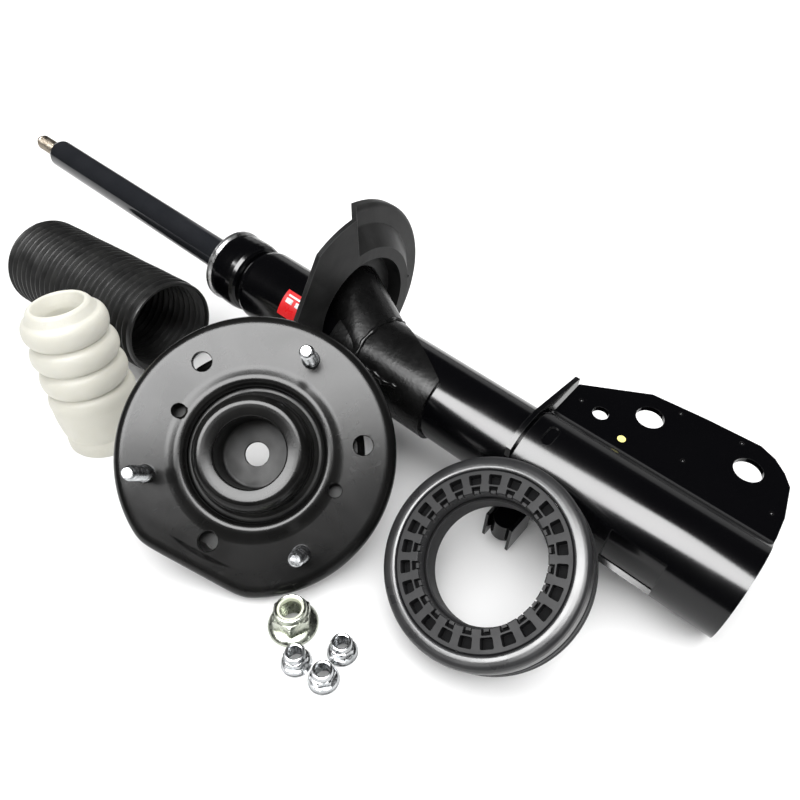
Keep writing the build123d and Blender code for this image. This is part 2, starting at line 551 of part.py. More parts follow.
def all_pieces():
    """Every named piece, laid out but not yet centred."""
    strut = strut_plane()
    mount = facing_plane(MOUNT_CENTRE, MOUNT_NORMAL)
    bearing = facing_plane(BEARING_CENTRE, BEARING_NORMAL)
    groups = [
        (strut, dict(outer_tube=outer_tube, base_cap=base_cap, pressure_tube=pressure_tube,
                     base_valve=base_valve, rod_guide=rod_guide, oil_seal=oil_seal, top_cap=top_cap,
                     top_cap_rim=top_cap_rim, spring_seat=spring_seat, seat_gusset=seat_gusset,
                     knuckle_bracket=knuckle_bracket, bracket_flange=bracket_flange,
                     hose_bracket=hose_bracket, label=label, paint_mark=paint_mark,
                     piston_rod=piston_rod, rod_tip=rod_tip, piston=piston, piston_band=piston_band,
                     valve_shims=valve_shims, piston_nut=piston_nut, rebound_stop=rebound_stop)),
        (mount, dict(mount_plate=mount_plate, mount_dome=mount_dome, mount_rubber=mount_rubber,
                     mount_isolator=mount_isolator, mount_neck=mount_neck, mount_shell=mount_shell,
                     mount_boss=mount_boss, mount_studs=mount_studs)),
        (bearing, dict(bearing_case=bearing_case, bearing_base=bearing_base, bearing_seal=bearing_seal,
                       bearing_upper_race=lambda: bearing_race(-7.8, -6.6),
                       bearing_lower_race=lambda: bearing_race(-13.2, -12.2),
                       bearing_balls=bearing_balls, bearing_cage=bearing_cage)),
        (boot_plane(), dict(dust_boot=dust_boot)),
        (stop_plane(), dict(bump_stop=bump_stop)),
        (floor_plane(BIG_NUT_SPOT, 12), dict(rod_nut=rod_nut, rod_nut_insert=nut_insert)),
    ]
    for number, spot in enumerate(SMALL_NUT_SPOTS, start=1):
        maker = {"stud_nut_%d" % number: lambda: flange_nut(**SMALL_NUT)}
        groups.append((floor_plane(spot, 17 * number), maker))
    pieces = {}
    for plane, makers in groups:
        for name, make in makers.items():
            pieces[name] = plane.location * make()
    pieces["bump_stop"] = floor_cut(pieces["bump_stop"])
    return pieces


def centring(pieces):
    """Shift that puts the origin under the middle of the whole set, on the floor."""
    boxes = [piece.bounding_box() for piece in pieces.values()]
    low = [min(getattr(box.min, axis) for box in boxes) for axis in "XYZ"]
    high = [max(getattr(box.max, axis) for box in boxes) for axis in "XYZ"]
    return -(low[0] + high[0]) / 2, -(low[1] + high[1]) / 2, -low[2]


def main():
    os.makedirs("parts", exist_ok=True)
    pieces = all_pieces()
    shift = centring(pieces)
    for name, piece in pieces.items():
        export_step(Pos(*shift) * piece, "parts/%s.step" % name)
    print("shift", [round(value, 4) for value in shift])


if __name__ == "__main__":
    main()
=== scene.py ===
import json
import math

import bmesh
import bpy
from mathutils import Matrix, Vector, noise


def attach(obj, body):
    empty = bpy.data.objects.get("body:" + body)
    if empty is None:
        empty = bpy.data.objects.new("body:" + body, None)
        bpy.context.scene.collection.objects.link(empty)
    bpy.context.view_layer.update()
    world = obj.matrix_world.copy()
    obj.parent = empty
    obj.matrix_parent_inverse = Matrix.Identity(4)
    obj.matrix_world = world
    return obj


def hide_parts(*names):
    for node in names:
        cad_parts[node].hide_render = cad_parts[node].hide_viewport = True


# A front strut service kit on a pale floor, lit by overhead, side and low cards.
# Lengths inside the shape functions are millimetres in a piece's own frame, as in the CAD.

MM = 0.001
SHARP_ANGLE, BEAD_SHARP_ANGLE = math.radians(38), math.radians(60)

# camera: fitted to the set's own size, metres and degrees
CAMERA_SPOT = (0.3083, -0.2070, 0.3243)
CAMERA_DOWN, CAMERA_TURN, CAMERA_LENS = 42.0, 40.54, 31.5

# strut, heights along its axis from the bracket end
ROD_TIP_MIDDLE = 611.0
TIP_R, TIP_PITCH = 5.9, 1.25
TIP_START, TIP_THREAD, TIP_END = 598.0, (603.0, 625.5), 628.9
TUBE_R = 24.6
SEAM_WELD_R, SEAM_WELD_ANGLE, SEAM_WELD_SPAN = 26.5, -148.0, (207, 262)
HOOP_WELD_R, HOOP_WELD_LEVEL, HOOP_WELD_ARC = 27.0, 240.5, (-200, 20)

# white bars of the label: level, height, angle and sweep
LABEL_BARS = [(291.0, 14.6, -121.5, 3.0), (291.0, 6.4, -132.0, 7.5), (300.0, 5.6, -132.0, 7.5)]
BAR_STEPS = 12

# mount plate; studs and holes are at (radius, angle)
PLATE_RIM_R, PLATE_SHEET, PLATE_SKIRT = 75.2, 2.6, 8.0
PLATE_ROUND_R = 60.0
PLATE_FLAT_ANGLE, PLATE_FLAT_DISTANCE = -120.0, 69.0
STUD_R, STUD_LENGTH, STUD_PITCH, STUD_COLLAR_R = 4.0, 27.0, 1.25, 4.9
STUDS = [(58.0, 58.0), (57.5, 188.5), (58.0, 294.0)]
LOCATING_HOLES = [(57.0, 118.7), (57.5, 2.4), (51.0, -118.8)]
LOCATING_HOLE_R = 5.2
DRAIN_HOLES = [(46.6, 148.7), (46.8, -26.5)]
DRAIN_HOLE_R = 3.7

# mount cup
ROD_HOLE_R, CUP_R = 6.5, 18.6
# the last value on this line is the top height of the cup's matte painted shade
CUP_FLOOR, CUP_SHEET, CUP_SHADE_TOP = -8.0, 2.6, 13.2

# bearing: its case's front face is FRONT_FROM_BORE ahead of the mount in its bore
BORE_R, CASE_R, POCKETS = 32.4, 44.1, 24
BAND_STEP, CASE_FOOT, POCKET_SHADE_TOP = -6.2, -8.6, -2.0
FRONT_FROM_BORE = 14.7

# boot and bump stop; the stop's lobes are at (height, radius)
BOOT_R, BOOT_VALLEY_R, BOOT_WALL, BOOT_LENGTH, BOOT_RIBS = 34.6, 31.4, 1.4, 151.0, 24
BOOT_LIP_R, BOOT_LIP_WALL = 17.0, 1.6
STOP_LENGTH, STOP_BORE_R, STOP_MIDDLE = 97.0, 11.6, 45.0
STOP_LOBES = [(33.5, 26.4), (50.0, 26.1), (66.5, 25.7), (83.0, 24.8)]
LOBE_REACH = 8.25

# points round a nut and round a weld bead
NUT_SEGMENTS, BEAD_SIDES = 96, 14


# ------------------------------------------------------------------ frames of the pieces
def own_frame(origin, x_way, z_way):
    """Matrix from a piece's millimetre frame to the row frame in metres."""
    z = Vector(z_way).normalized()
    x = (Vector(x_way) - z * Vector(x_way).dot(z)).normalized()
    y = z.cross(x)
    turn = Matrix((x, y, z)).transposed().to_4x4()
    return Matrix.Translation(origin) @ turn @ Matrix.Scale(MM, 4)


def mount_named(record, name):
    """Position and axis of one of the record's mounts."""
    found = next(m for m in record["mounts"] if m["name"] == name)
    return Vector(found["pos_m"]), Vector(found["axis"])


def piece_frames(record):
    """The millimetre frame of each group, found from the record's own mounts."""
    tip, along = mount_named(record, "rod_tip")
    _, down = mount_named(record, "knuckle_bolt_lower")
    hole, out = mount_named(record, "mount_rod_hole")
    bore, front = mount_named(record, "bearing_bore")
    lip, away = mount_named(record, "boot_lip")
    middle, up = mount_named(record, "stop_bore")
    frames = {
        "strut": own_frame(tip - along * ROD_TIP_MIDDLE * MM, (-down).cross(along), along),
        "mount": own_frame(hole - out * (CUP_FLOOR - CUP_SHEET / 2) * MM, (-out.y, out.x, 0), out),
        "bearing": own_frame(bore + front * FRONT_FROM_BORE * MM, (-front.y, front.x, 0), front),
        "boot": own_frame(lip - away * (BOOT_LENGTH - BOOT_LIP_WALL / 2) * MM, (0, 0, 1), away),
        "stop": own_frame(middle - up * STOP_MIDDLE * MM, (1, 0, 0), up),
    }
    nuts = {"large_nut": "rod_nut_thread", "small_nut_1": "stud_nut_thread_1",
            "small_nut_2": "stud_nut_thread_2", "small_nut_3": "stud_nut_thread_3"}
    for turn, (key, name) in enumerate(nuts.items()):
        spot, _ = mount_named(record, name)
        angle = math.radians(12 if turn == 0 else 17 * turn)
        floor = Vector((spot.x, spot.y, 0.0))
        frames[key] = own_frame(floor, (math.cos(angle), math.sin(angle), 0), (0, 0, 1))
    return frames


# ------------------------------------------------------------------ mesh helpers
def object_from(name, verts, faces, place, material, smooth_angle=SHARP_ANGLE):
    """New shaded object from millimetre vertices placed with a frame."""
    mesh = bpy.data.meshes.new(name)
    mesh.from_pydata([place @ Vector(v) for v in verts], [], faces)
    work = bmesh.new()
    work.from_mesh(mesh)
    bmesh.ops.remove_doubles(work, verts=work.verts, dist=1e-7)
    bmesh.ops.recalc_face_normals(work, faces=work.faces)
    work.to_mesh(mesh)
    work.free()
    mesh.polygons.foreach_set("use_smooth", [True] * len(mesh.polygons))
    mesh.set_sharp_from_angle(angle=smooth_angle)
    mesh.materials.append(material)
    obj = bpy.data.objects.new(name, mesh)
    bpy.context.scene.collection.objects.link(obj)
    return obj


def rounded(line, radius, steps=3):
    """Copy of a closed (r, z) line with each corner eased over a short arc."""
    out = []
    count = len(line)
    for i, corner in enumerate(line):
        here = Vector(corner)
        before = Vector(line[i - 1]) - here
        after = Vector(line[(i + 1) % count]) - here
        reach = min(radius, 0.45 * before.length, 0.45 * after.length)
        start = here + before.normalized() * reach
        end = here + after.normalized() * reach
        for k in range(steps + 1):
            s = k / steps
            point = start * (1 - s) ** 2 + here * 2 * s * (1 - s) + end * s * s
            out.append((max(point.x, 0.0), point.y))
    return out


def ring_grid(rows):
    """Faces of a ring of equal closed rows."""
    count, size = len(rows), len(rows[0])
    faces = []
    for i in range(count):
        j = (i + 1) % count
        for k in range(size):
            m = (k + 1) % size
            faces.append((i * size + k, j * size + k, j * size + m, i * size + m))
    return faces


def turned(name, line, place, material, segments, shape=None):
    """Solid of revolution of an (r, z) line; shape(angle, r, z) may move each point."""
    rows = []
    for i in range(segments):
        angle = 2 * math.pi * i / segments
        row = []
        for r, z in line:
            radius, height = shape(angle, r, z) if shape else (r, z)
            row.append((radius * math.cos(angle), radius * math.sin(angle), height))
        rows.append(row)
    verts = [v for row in rows for v in row]
    return object_from(name, verts, ring_grid(rows), place, material)


def polar(radius, degrees):
    """Point at a radius and an angle."""
    return radius * math.cos(math.radians(degrees)), radius * math.sin(math.radians(degrees))


def second_finish(obj, place, material, near, far, top):
    """Give the faces between two radii and below a height a second material."""
    obj.data.materials.append(material)
    up = (place.to_3x3() @ Vector((0, 0, 1))).normalized()
    for face in obj.data.polygons:
        out = (face.center - place.translation) / MM
        height = out.dot(up)
        reach = (out - up * height).length
        if height < top and near < reach < far:
            face.material_index = 1


def show(piece, body, slot, *nodes):
    """Attach a detailed piece to its body in place of its CAD nodes."""
    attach(piece, body)
    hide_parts(*nodes)


def cut(obj, cutters):
    """Take the cutters out of a solid and delete them."""
    for cutter in cutters:
        step = obj.modifiers.new("cut", "BOOLEAN")
        step.operation, step.solver, step.object = "DIFFERENCE", "EXACT", cutter
    graph = bpy.context.evaluated_depsgraph_get()
    result = bpy.data.meshes.new_from_object(obj.evaluated_get(graph))
    obj.modifiers.clear()
    obj.data = result
    obj.data.set_sharp_from_angle(angle=SHARP_ANGLE)
    even = obj.modifiers.new("even", "WEIGHTED_NORMAL")
    even.keep_sharp = True
    for cutter in cutters:
        bpy.data.objects.remove(cutter)


def round_cutter(place, x, y, radius, low, high, flare):
    """Cutter for a round hole whose edge at z = 0 is broken by a small flare."""
    line = [(0, low), (radius, low), (radius, -flare), (radius + flare, 0.0),
            (radius + flare + high, high), (0, high)]
    here = place @ Matrix.Translation((x, y, 0))
    return turned("cutter", line, here, None, segments=48)


def threaded_line(radius, low, high, pitch):
    """Points up a threaded stretch, eight to a turn of the thread."""
    count = max(2, int((high - low) / pitch * 8))
    return [(radius, low + (high - low) * k / count) for k in range(count + 1)]


def thread_shape(low, high, pitch, depth):
    """Radius change that winds a V thread between two heights."""
    def shape(angle, r, z):
        if z <= low or z >= high or r < depth * 2:
            return r, z
        turn = (z / pitch - angle / (2 * math.pi)) % 1.0
        groove = abs(turn * 2 - 1)
        fade = min(1.0, (z - low) / pitch, (high - z) / pitch)
        return r - depth * fade * min(1.0, groove * 1.25), z
    return shape


# ------------------------------------------------------------------ material helpers
class Shader:
    """One node material under construction."""

    def __init__(self, name, color, roughness, metallic=0.0, specular=0.5):
        self.material = bpy.data.materials.new(name)
        self.material.use_nodes = True
        self.nodes = self.material.node_tree.nodes
        self.links = self.material.node_tree.links
        self.base = self.nodes["Principled BSDF"]
        self.base.inputs["Base Color"].default_value = (*color, 1)
        self.base.inputs["Roughness"].default_value = roughness
        self.base.inputs["Metallic"].default_value = metallic
        self.base.inputs["Specular IOR Level"].default_value = specular
        self.place = self.nodes.new("ShaderNodeTexCoord").outputs["Object"]
        self.normals = []

    def set(self, **values):
        """Set plain values on the surface shader."""
        for key, value in values.items():
            self.base.inputs[key.replace("_", " ")].default_value = value

    def noise(self, scale, detail=4.0, distortion=0.0, stretch=(1, 1, 1)):
        """Noise over the object, as a 0 to 1 value."""
        node = self.nodes.new("ShaderNodeTexNoise")
        node.inputs["Scale"].default_value = scale
        node.inputs["Detail"].default_value = detail
        node.inputs["Distortion"].default_value = distortion
        self.links.new(self.stretched(stretch), node.inputs["Vector"])
        return node.outputs["Fac"]

    def stretched(self, stretch):
        """Object coordinates scaled per axis."""
        if stretch == (1, 1, 1):
            return self.place
        node = self.nodes.new("ShaderNodeMapping")
        node.inputs["Scale"].default_value = stretch
        self.links.new(self.place, node.inputs["Vector"])
        return node.outputs["Vector"]

    def cells(self, scale):
        """Distance to the nearest of many scattered points."""
        node = self.nodes.new("ShaderNodeTexVoronoi")
        node.inputs["Scale"].default_value = scale
        self.links.new(self.place, node.inputs["Vector"])
        return node.outputs["Distance"]

    def span(self, value, low, high, out_low, out_high):
        """Value mapped from one range to another and clamped."""
        node = self.nodes.new("ShaderNodeMapRange")
        ends = {"From Min": low, "From Max": high, "To Min": out_low, "To Max": out_high}
        for key, number in ends.items():
            node.inputs[key].default_value = number
        self.links.new(value, node.inputs["Value"])
        return node.outputs["Result"]

    def join(self, kind, a, b):
        """Arithmetic on two values, each a socket or a number."""
        node = self.nodes.new("ShaderNodeMath")
        node.operation = kind
        for socket, value in zip(node.inputs, (a, b)):
            if isinstance(value, (int, float)):
                socket.default_value = value
            else:
                self.links.new(value, socket)
        return node.outputs["Value"]

    def blend(self, amount, a, b):
        """Two colours, or a colour socket and a colour, mixed by a value."""
        node = self.nodes.new("ShaderNodeMix")
        node.data_type = "RGBA"
        self.links.new(amount, node.inputs["Factor"])
        for socket, value in ((node.inputs[6], a), (node.inputs[7], b)):
            if isinstance(value, tuple):
                socket.default_value = (*value, 1)
            else:
                self.links.new(value, socket)
        return node.outputs[2]

    def edges(self, radius_mm=0.7, low=0.01, high=0.16):
        """Value that rises within a small distance of an edge."""
        round_normal = self.nodes.new("ShaderNodeBevel")
        round_normal.samples = 4
        round_normal.inputs["Radius"].default_value = radius_mm * MM
        flat_normal = self.nodes.new("ShaderNodeNewGeometry")
        match = self.nodes.new("ShaderNodeVectorMath")
        match.operation = "DOT_PRODUCT"
        self.links.new(round_normal.outputs["Normal"], match.inputs[0])
        self.links.new(flat_normal.outputs["Normal"], match.inputs[1])
        return self.span(match.outputs["Value"], 1.0 - low, 1.0 - high, 0.0, 1.0)

    def color(self, socket):
        """Drive the colour by a socket."""
        self.links.new(socket, self.base.inputs["Base Color"])

    def roughness(self, socket):
        """Drive the roughness by a socket."""
        self.links.new(socket, self.base.inputs["Roughness"])

    def relief(self, value, height_mm):
        """Add a bump of that many millimetres."""
        node = self.nodes.new("ShaderNodeBump")
        node.inputs["Distance"].default_value = height_mm * MM
        self.links.new(value, node.inputs["Height"])
        if self.normals:
            self.links.new(self.normals[-1], node.inputs["Normal"])
        self.normals.append(node.outputs["Normal"])

    def soft_edges(self, radius_mm):
        """Round the look of hard edges by a small radius."""
        node = self.nodes.new("ShaderNodeBevel")
        node.samples = 4
        node.inputs["Radius"].default_value = radius_mm * MM
        self.normals.append(node.outputs["Normal"])

    def done(self):
        """The finished material, with its bumps in use."""
        if self.normals:
            self.links.new(self.normals[-1], self.base.inputs["Normal"])
        return self.material


# ------------------------------------------------------------------ materials
def black_paint():
    """Glossy black stoving paint with orange peel, a little dust and slightly bare edges."""
    s = Shader("black_paint", (0.0012, 0.0012, 0.0016), 0.15, specular=0.32)
    s.relief(s.noise(230, 2.0), 0.008)
    dust = s.span(s.noise(1100, 3.0), 0.66, 0.78, 0.0, 0.3)
    worn = s.join("MULTIPLY", s.edges(), s.span(s.noise(150), 0.4, 0.65, 0.1, 0.7))
    tone = s.blend(dust, (0.0012, 0.0012, 0.0016), (0.01, 0.01, 0.011))
    s.color(s.blend(worn, tone, (0.04, 0.04, 0.04)))
    s.roughness(s.span(s.noise(22, 5.0, 0.4), 0.3, 0.7, 0.13, 0.19))
    return s.done()


def seat_paint():
    """Satin black of the spring seat, with soft rub marks left by stacking."""
    s = Shader("seat_paint", (0.012, 0.012, 0.012), 0.42, specular=0.15)
    s.relief(s.noise(300, 2.0), 0.02)
    cloud = s.span(s.noise(34, 5.0, 1.5), 0.35, 0.7, 0.0, 1.0)
    rubbed = s.join("MULTIPLY", s.edges(), 0.6)
    tone = s.blend(cloud, (0.009, 0.009, 0.009), (0.018, 0.018, 0.018))
    s.color(s.blend(rubbed, tone, (0.07, 0.07, 0.07)))
    s.roughness(s.span(s.noise(60, 4.0), 0.3, 0.7, 0.36, 0.5))
    return s.done()


def weld_paint():
    """Black paint over rough scaled steel and weld spatter."""
    s = Shader("weld_paint", (0.004, 0.004, 0.004), 0.26, specular=0.16)
    s.relief(s.cells(420), 0.05)
    s.relief(s.noise(120, 5.0, 0.8), 0.08)
    s.color(s.blend(s.noise(260, 5.0), (0.0015, 0.0015, 0.0015), (0.006, 0.006, 0.006)))
    s.roughness(s.span(s.noise(90, 4.0), 0.3, 0.7, 0.2, 0.34))
    return s.done()


def mount_paint():
    """Satin black coat over pressed steel, cloudy, with fine handling scuffs."""
    s = Shader("mount_paint", (0.008, 0.008, 0.008), 0.24, specular=0.2)
    s.relief(s.noise(420, 3.0), 0.014)
    cloud = s.span(s.noise(24, 6.0, 1.4), 0.3, 0.7, 0.0, 1.0)
    scuffs = s.span(s.noise(150, 3.0, 2.0, (1, 0.18, 1)), 0.64, 0.76, 0.0, 0.16)
    tone = s.blend(cloud, (0.003, 0.003, 0.003), (0.008, 0.0078, 0.0075))
    s.color(s.blend(scuffs, tone, (0.03, 0.029, 0.028)))
    rough = s.span(s.noise(30, 5.0, 1.0), 0.3, 0.7, 0.21, 0.27)
    s.roughness(s.join("ADD", rough, s.join("MULTIPLY", scuffs, 0.1)))
    return s.done()


def bright_zinc():
    """Clear zinc plate, slightly clouded."""
    s = Shader("bright_zinc", (0.7, 0.71, 0.72), 0.22, metallic=1.0)
    s.relief(s.noise(700, 3.0), 0.02)
    cloud = s.span(s.noise(220, 4.0, 0.8), 0.35, 0.65, 0.0, 1.0)
    s.color(s.blend(cloud, (0.3, 0.31, 0.315), (0.5, 0.51, 0.52)))
    s.roughness(s.span(s.noise(350), 0.3, 0.7, 0.16, 0.34))
    return s.done()


def yellow_zinc():
    """Faintly yellow-green passivated zinc of the large nut."""
    s = Shader("yellow_zinc", (0.66, 0.68, 0.6), 0.24, metallic=1.0)
    s.relief(s.noise(600, 3.0), 0.02)
    cloud = s.span(s.noise(160, 4.0, 0.8), 0.35, 0.65, 0.0, 1.0)
    s.color(s.blend(cloud, (0.3, 0.32, 0.27), (0.48, 0.5, 0.43)))
    s.roughness(s.span(s.noise(350), 0.3, 0.7, 0.18, 0.36))
    return s.done()


def rod_chrome():
    """Polished dark piston rod with fine turning marks."""
    s = Shader("rod_chrome", (0.03, 0.032, 0.036), 0.1, specular=0.5)
    s.relief(s.noise(60, 2.0, 0.0, (22, 1, 1)), 0.004)
    haze = s.span(s.noise(30, 5.0), 0.35, 0.7, 0.07, 0.16)
    s.color(s.blend(s.noise(45, 4.0), (0.008, 0.009, 0.011), (0.02, 0.021, 0.024)))
    s.roughness(haze)
    return s.done()


def tip_steel():
    """Oiled bare steel of the threaded rod tip."""
    s = Shader("tip_steel", (0.3, 0.26, 0.2), 0.34, metallic=1.0)
    s.relief(s.noise(900, 3.0), 0.02)
    s.color(s.blend(s.noise(150, 5.0), (0.13, 0.105, 0.08), (0.4, 0.36, 0.3)))
    s.roughness(s.span(s.noise(300), 0.3, 0.7, 0.24, 0.42))
    return s.done()


def plain_steel():
    """Drawn steel inside the strut."""
    s = Shader("inner_steel", (0.5, 0.5, 0.52), 0.3, metallic=1.0)
    s.relief(s.noise(80, 3.0, 0.0, (12, 1, 1)), 0.01)
    s.color(s.blend(s.noise(60, 4.0), (0.4, 0.4, 0.42), (0.56, 0.56, 0.58)))
    s.roughness(s.span(s.noise(90), 0.3, 0.7, 0.24, 0.4))
    return s.done()


def rim_steel():
    """Bare rolled edge of the top cap."""
    s = Shader("rim_steel", (0.5, 0.5, 0.5), 0.25, metallic=1.0)
    s.relief(s.noise(500, 3.0), 0.02)
    s.color(s.blend(s.noise(120, 5.0), (0.25, 0.25, 0.25), (0.62, 0.62, 0.62)))
    s.roughness(s.span(s.noise(200), 0.3, 0.7, 0.2, 0.4))
    return s.done()


def sintered_iron():
    """Grainy sintered iron."""
    s = Shader("sintered_iron", (0.3, 0.3, 0.3), 0.5, metallic=0.9)
    s.relief(s.cells(1600), 0.04)
    s.color(s.blend(s.noise(300, 5.0), (0.2, 0.2, 0.2), (0.36, 0.35, 0.34)))
    s.roughness(s.span(s.noise(500), 0.3, 0.7, 0.42, 0.6))
    return s.done()


def rubber(name, tone, rough):
    """Moulded black rubber with a fine skin and a faint bloom."""
    s = Shader(name, (tone, tone, tone), rough, specular=0.25)
    s.relief(s.noise(1400, 3.0), 0.03)
    bloom = s.span(s.noise(70, 5.0, 0.8), 0.4, 0.75, 0.0, 1.0)
    s.color(s.blend(bloom, (tone, tone, tone), (tone * 2.2, tone * 2.2, tone * 2.1)))
    s.roughness(s.span(s.noise(110, 4.0), 0.3, 0.7, rough - 0.06, rough + 0.1))
    return s.done()


def bearing_plastic(name, rough, specular):
    """Grey moulded plastic with a fine grain, rubbed at the edges."""
    s = Shader(name, (0.018, 0.018, 0.019), rough, specular=specular)
    s.soft_edges(0.25)
    s.relief(s.noise(1100, 3.0), 0.02)
    worn = s.join("MULTIPLY", s.edges(0.5), 0.3)
    tone = s.blend(s.noise(60, 5.0), (0.013, 0.013, 0.014), (0.023, 0.023, 0.024))
    s.color(s.blend(worn, tone, (0.1, 0.1, 0.1)))
    s.roughness(s.span(s.noise(90, 4.0), 0.3, 0.7, rough - 0.04, rough + 0.06))
    return s.done()


def stop_foam():
    """Cream polyurethane foam: a fine closed skin with pores, lit softly from within."""
    s = Shader("stop_foam", (0.6, 0.59, 0.53), 0.5, specular=0.25)
    s.set(Subsurface_Weight=0.15, Subsurface_Scale=0.002, Subsurface_Radius=(1.0, 0.85, 0.6))
    s.relief(s.cells(900), 0.05)
    s.relief(s.noise(180, 4.0), 0.12)
    pores = s.span(s.cells(520), 0.0, 0.16, 1.0, 0.0)
    tone = s.blend(s.noise(40, 5.0, 0.5), (0.56, 0.55, 0.48), (0.63, 0.62, 0.56))
    s.color(s.blend(s.join("MULTIPLY", pores, 0.35), tone, (0.48, 0.46, 0.37)))
    s.roughness(s.span(s.noise(90), 0.3, 0.7, 0.42, 0.6))
    return s.done()


def label_film():
    """Red film, slightly rubbed."""
    s = Shader("label_film", (0.72, 0.01, 0.014), 0.3, specular=0.4)
    s.relief(s.noise(240, 3.0), 0.02)
    rub = s.span(s.noise(500, 4.0), 0.64, 0.74, 0.0, 0.25)
    tone = s.blend(s.noise(80, 4.0), (0.62, 0.003, 0.006), (0.74, 0.006, 0.01))
    s.color(s.blend(rub, tone, (0.72, 0.1, 0.1)))
    s.roughness(s.span(s.noise(120), 0.3, 0.7, 0.24, 0.4))
    return s.done()


def label_ink():
    """White print of the plain label bars."""
    s = Shader("label_ink", (0.85, 0.85, 0.84), 0.4, specular=0.3)
    s.relief(s.noise(300, 3.0), 0.01)
    s.color(s.blend(s.noise(180, 4.0), (0.78, 0.76, 0.75), (0.9, 0.89, 0.88)))
    s.roughness(s.span(s.noise(150), 0.3, 0.7, 0.34, 0.5))
    return s.done()


def yellow_paint():
    """Daub of yellow marking paint."""
    s = Shader("yellow_paint", (0.8, 0.72, 0.2), 0.4)
    s.relief(s.noise(1200, 3.0), 0.08)
    s.color(s.blend(s.noise(900, 4.0), (0.7, 0.62, 0.12), (0.88, 0.82, 0.34)))
    s.roughness(s.span(s.noise(900), 0.3, 0.7, 0.3, 0.5))
    return s.done()


def band_plastic(name, dark, light):
    """Filled bearing plastic."""
    s = Shader(name, dark, 0.45)
    s.relief(s.noise(1500, 3.0), 0.03)
    s.color(s.blend(s.noise(400, 4.0), dark, light))
    s.roughness(s.span(s.noise(300), 0.3, 0.7, 0.36, 0.54))
    return s.done()


def floor_paper():
    """Pale studio floor with a barely visible grain."""
    s = Shader("floor_paper", (0.9, 0.9, 0.9), 0.8, specular=0.1)
    s.color(s.blend(s.noise(3, 3.0), (0.895, 0.895, 0.895), (0.91, 0.91, 0.91)))
    return s.done()


def all_materials():
    """A material for each of the record's slots, then those of pieces with a finish of their own."""
    return {
        "black_paint": black_paint(),
        "mount_paint": mount_paint(),
        "bright_zinc": bright_zinc(),
        "rod_chrome": rod_chrome(),
        "inner_steel": plain_steel(),
        "race_steel": plain_steel(),
        "rim_steel": rim_steel(),
        "sintered_iron": sintered_iron(),
        "label_film": label_film(),
        "yellow_paint": yellow_paint(),
        "bearing_plastic": bearing_plastic("bearing_plastic", 0.5, 0.12),
        "stop_foam": stop_foam(),
        "seal_rubber": rubber("seal_rubber", 0.012, 0.5),
        "mount_rubber": rubber("mount_rubber", 0.009, 0.45),
        "boot_rubber": rubber("boot_rubber", 0.008, 0.36),
        "band_plastic": band_plastic("band_plastic", (0.2, 0.14, 0.1), (0.3, 0.22, 0.15)),
        "cage_plastic": band_plastic("cage_plastic", (0.5, 0.45, 0.36), (0.62, 0.56, 0.46)),
        "nut_insert": band_plastic("nut_insert", (0.62, 0.66, 0.5), (0.75, 0.78, 0.62)),
        "yellow_zinc": yellow_zinc(),
        "tip_steel": tip_steel(),
        "seat_paint": seat_paint(),
        "weld_paint": weld_paint(),
        "label_ink": label_ink(),
        # matte black for the mount cup's recess: painted shade
        "painted_cup_shade": rubber("painted_cup_shade", 0.008, 0.55),
        "band_skin": bearing_plastic("band_skin", 0.3, 0.5),
        # the bearing plastic made matte and unreflective: painted shade for the pocket floors
        "painted_pocket_shade": bearing_plastic("painted_pocket_shade", 0.7, 0.02),
    }


# ------------------------------------------------------------------ top mount
def plate_reach(angle, distance_in):
    """Radius of the plate's outline at an angle, moved in by a distance."""
    from_flat = angle - math.radians(PLATE_FLAT_ANGLE)
    facing = math.cos(from_flat)
    circle = PLATE_RIM_R - distance_in
    if facing <= 0.2:
        return circle
    flat = (PLATE_FLAT_DISTANCE - distance_in) / facing
    return (circle ** -70 + flat ** -70) ** (-1 / 70)


def plate_shape(angle, r, z):
    """Circles near the middle, the trimmed outline near the rim."""
    if r < PLATE_ROUND_R:
        return r, z
    trimmed = plate_reach(angle, PLATE_RIM_R - r)
    return r + (trimmed - r) * min(1.0, (r - PLATE_ROUND_R) / 3.0), z


def mount_plate(place, paint):
    """Pressed plate with a raised bead, turned-down rim and its holes."""
    t = PLATE_SHEET
    bead = [(36.2, -8.0), (36.2, -2.6), (36.4, -1.2), (37.0, -0.1), (38.2, 0.8), (39.8, 1.3),
            (41.6, 1.2), (43.4, 0.7), (45.2, 0.25), (47.0, 0.0)]
    top = [(PLATE_ROUND_R, 0.0), (64.0, 0.0), (69.0, 0.0), (70.8, -0.2), (72.6, -0.9), (74.0, -2.1),
           (74.9, -3.7), (PLATE_RIM_R, -5.6), (PLATE_RIM_R, -PLATE_SKIRT)]
    under = [(72.7, -PLATE_SKIRT), (72.6, -5.6), (71.6, -3.8), (69.6, -t), (PLATE_ROUND_R, -t),
             (44.0, -t), (41.5, -t + 0.4), (39.4, -1.8), (38.7, -3.4), (38.6, -8.0)]
    plate = turned("plate", rounded(bead + top + under, 0.7), place, paint, 288, plate_shape)
    spots = [(LOCATING_HOLE_R, 0.45, spot) for spot in LOCATING_HOLES]
    spots += [(DRAIN_HOLE_R, 0.35, spot) for spot in DRAIN_HOLES]
    spots += [(STUD_R + 0.02, 0.2, spot) for spot in STUDS]
    cut(plate, [round_cutter(place, *polar(*spot), radius, -6.0, 3.0, flare)
                for radius, flare, spot in spots])
    return plate


